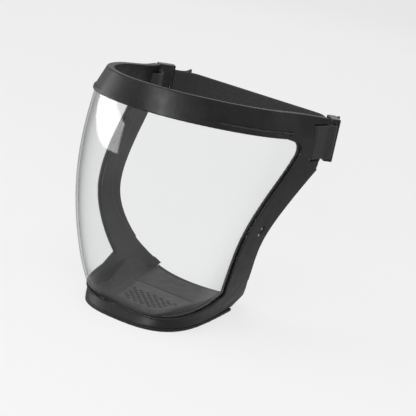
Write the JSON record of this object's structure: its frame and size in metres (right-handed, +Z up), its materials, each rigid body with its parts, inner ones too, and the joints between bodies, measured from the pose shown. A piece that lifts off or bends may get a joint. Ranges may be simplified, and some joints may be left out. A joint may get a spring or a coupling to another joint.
{
  "type": "face shield",
  "caption": "Full-face work shield: soft black frame, clear curved visor, chin tray with breathing filter and a webbing head strap.",
  "frame": {"origin": "on the symmetry plane, on the flat underside of the chin cover; Z = 0 is the surface the shield stands on", "axes": "+X to the wearer's left, -Y forwards through the visor, +Z up"},
  "size_m": [0.1718, 0.2014, 0.1878],
  "materials": {
    "frame_rubber": "satin black moulded thermoplastic rubber, fine grain",
    "clear_visor": "clear polycarbonate, polished",
    "seal_rubber": "soft matt silicone",
    "tray_rubber": "satin black moulded thermoplastic rubber",
    "grille_plastic": "matt black plastic, perforated",
    "filter_felt": "dark non-woven felt",
    "cover_plastic": "matt black plastic",
    "rivet_metal": "small bare aluminium rivet heads",
    "webbing": "black woven elastic webbing",
    "slider_plastic": "black moulded acetal"
  },
  "bodies": {
    "shield": {"frame": "frame_rubber", "visor": "clear_visor", "face_seal_left": "seal_rubber", "face_seal_right": "seal_rubber", "throat_lip": "seal_rubber", "chin_tray": "tray_rubber", "breathing_grille": "grille_plastic", "arm_rivets": "rivet_metal", "head_strap": "webbing"},
    "cover": {"chin_cover": "cover_plastic", "cover_pegs": "cover_plastic", "filter_pad": "filter_felt"},
    "slider_left": {"slider_left": "slider_plastic"},
    "slider_right": {"slider_right": "slider_plastic"}
  },
  "joints": [
    {"name": "cover_pull", "type": "slide", "parent": "shield", "child": "cover", "axis": [0, 0, -1], "range_m": [0, 0.012]},
    {"name": "strap_slider_left", "type": "slide", "parent": "shield", "child": "slider_left", "axis": [-0.6899, 0.7239, 0], "range_m": [0, 0.005]},
    {"name": "strap_slider_right", "type": "slide", "parent": "shield", "child": "slider_right", "axis": [0.6899, 0.7239, 0], "range_m": [0, 0.005]}
  ]
}
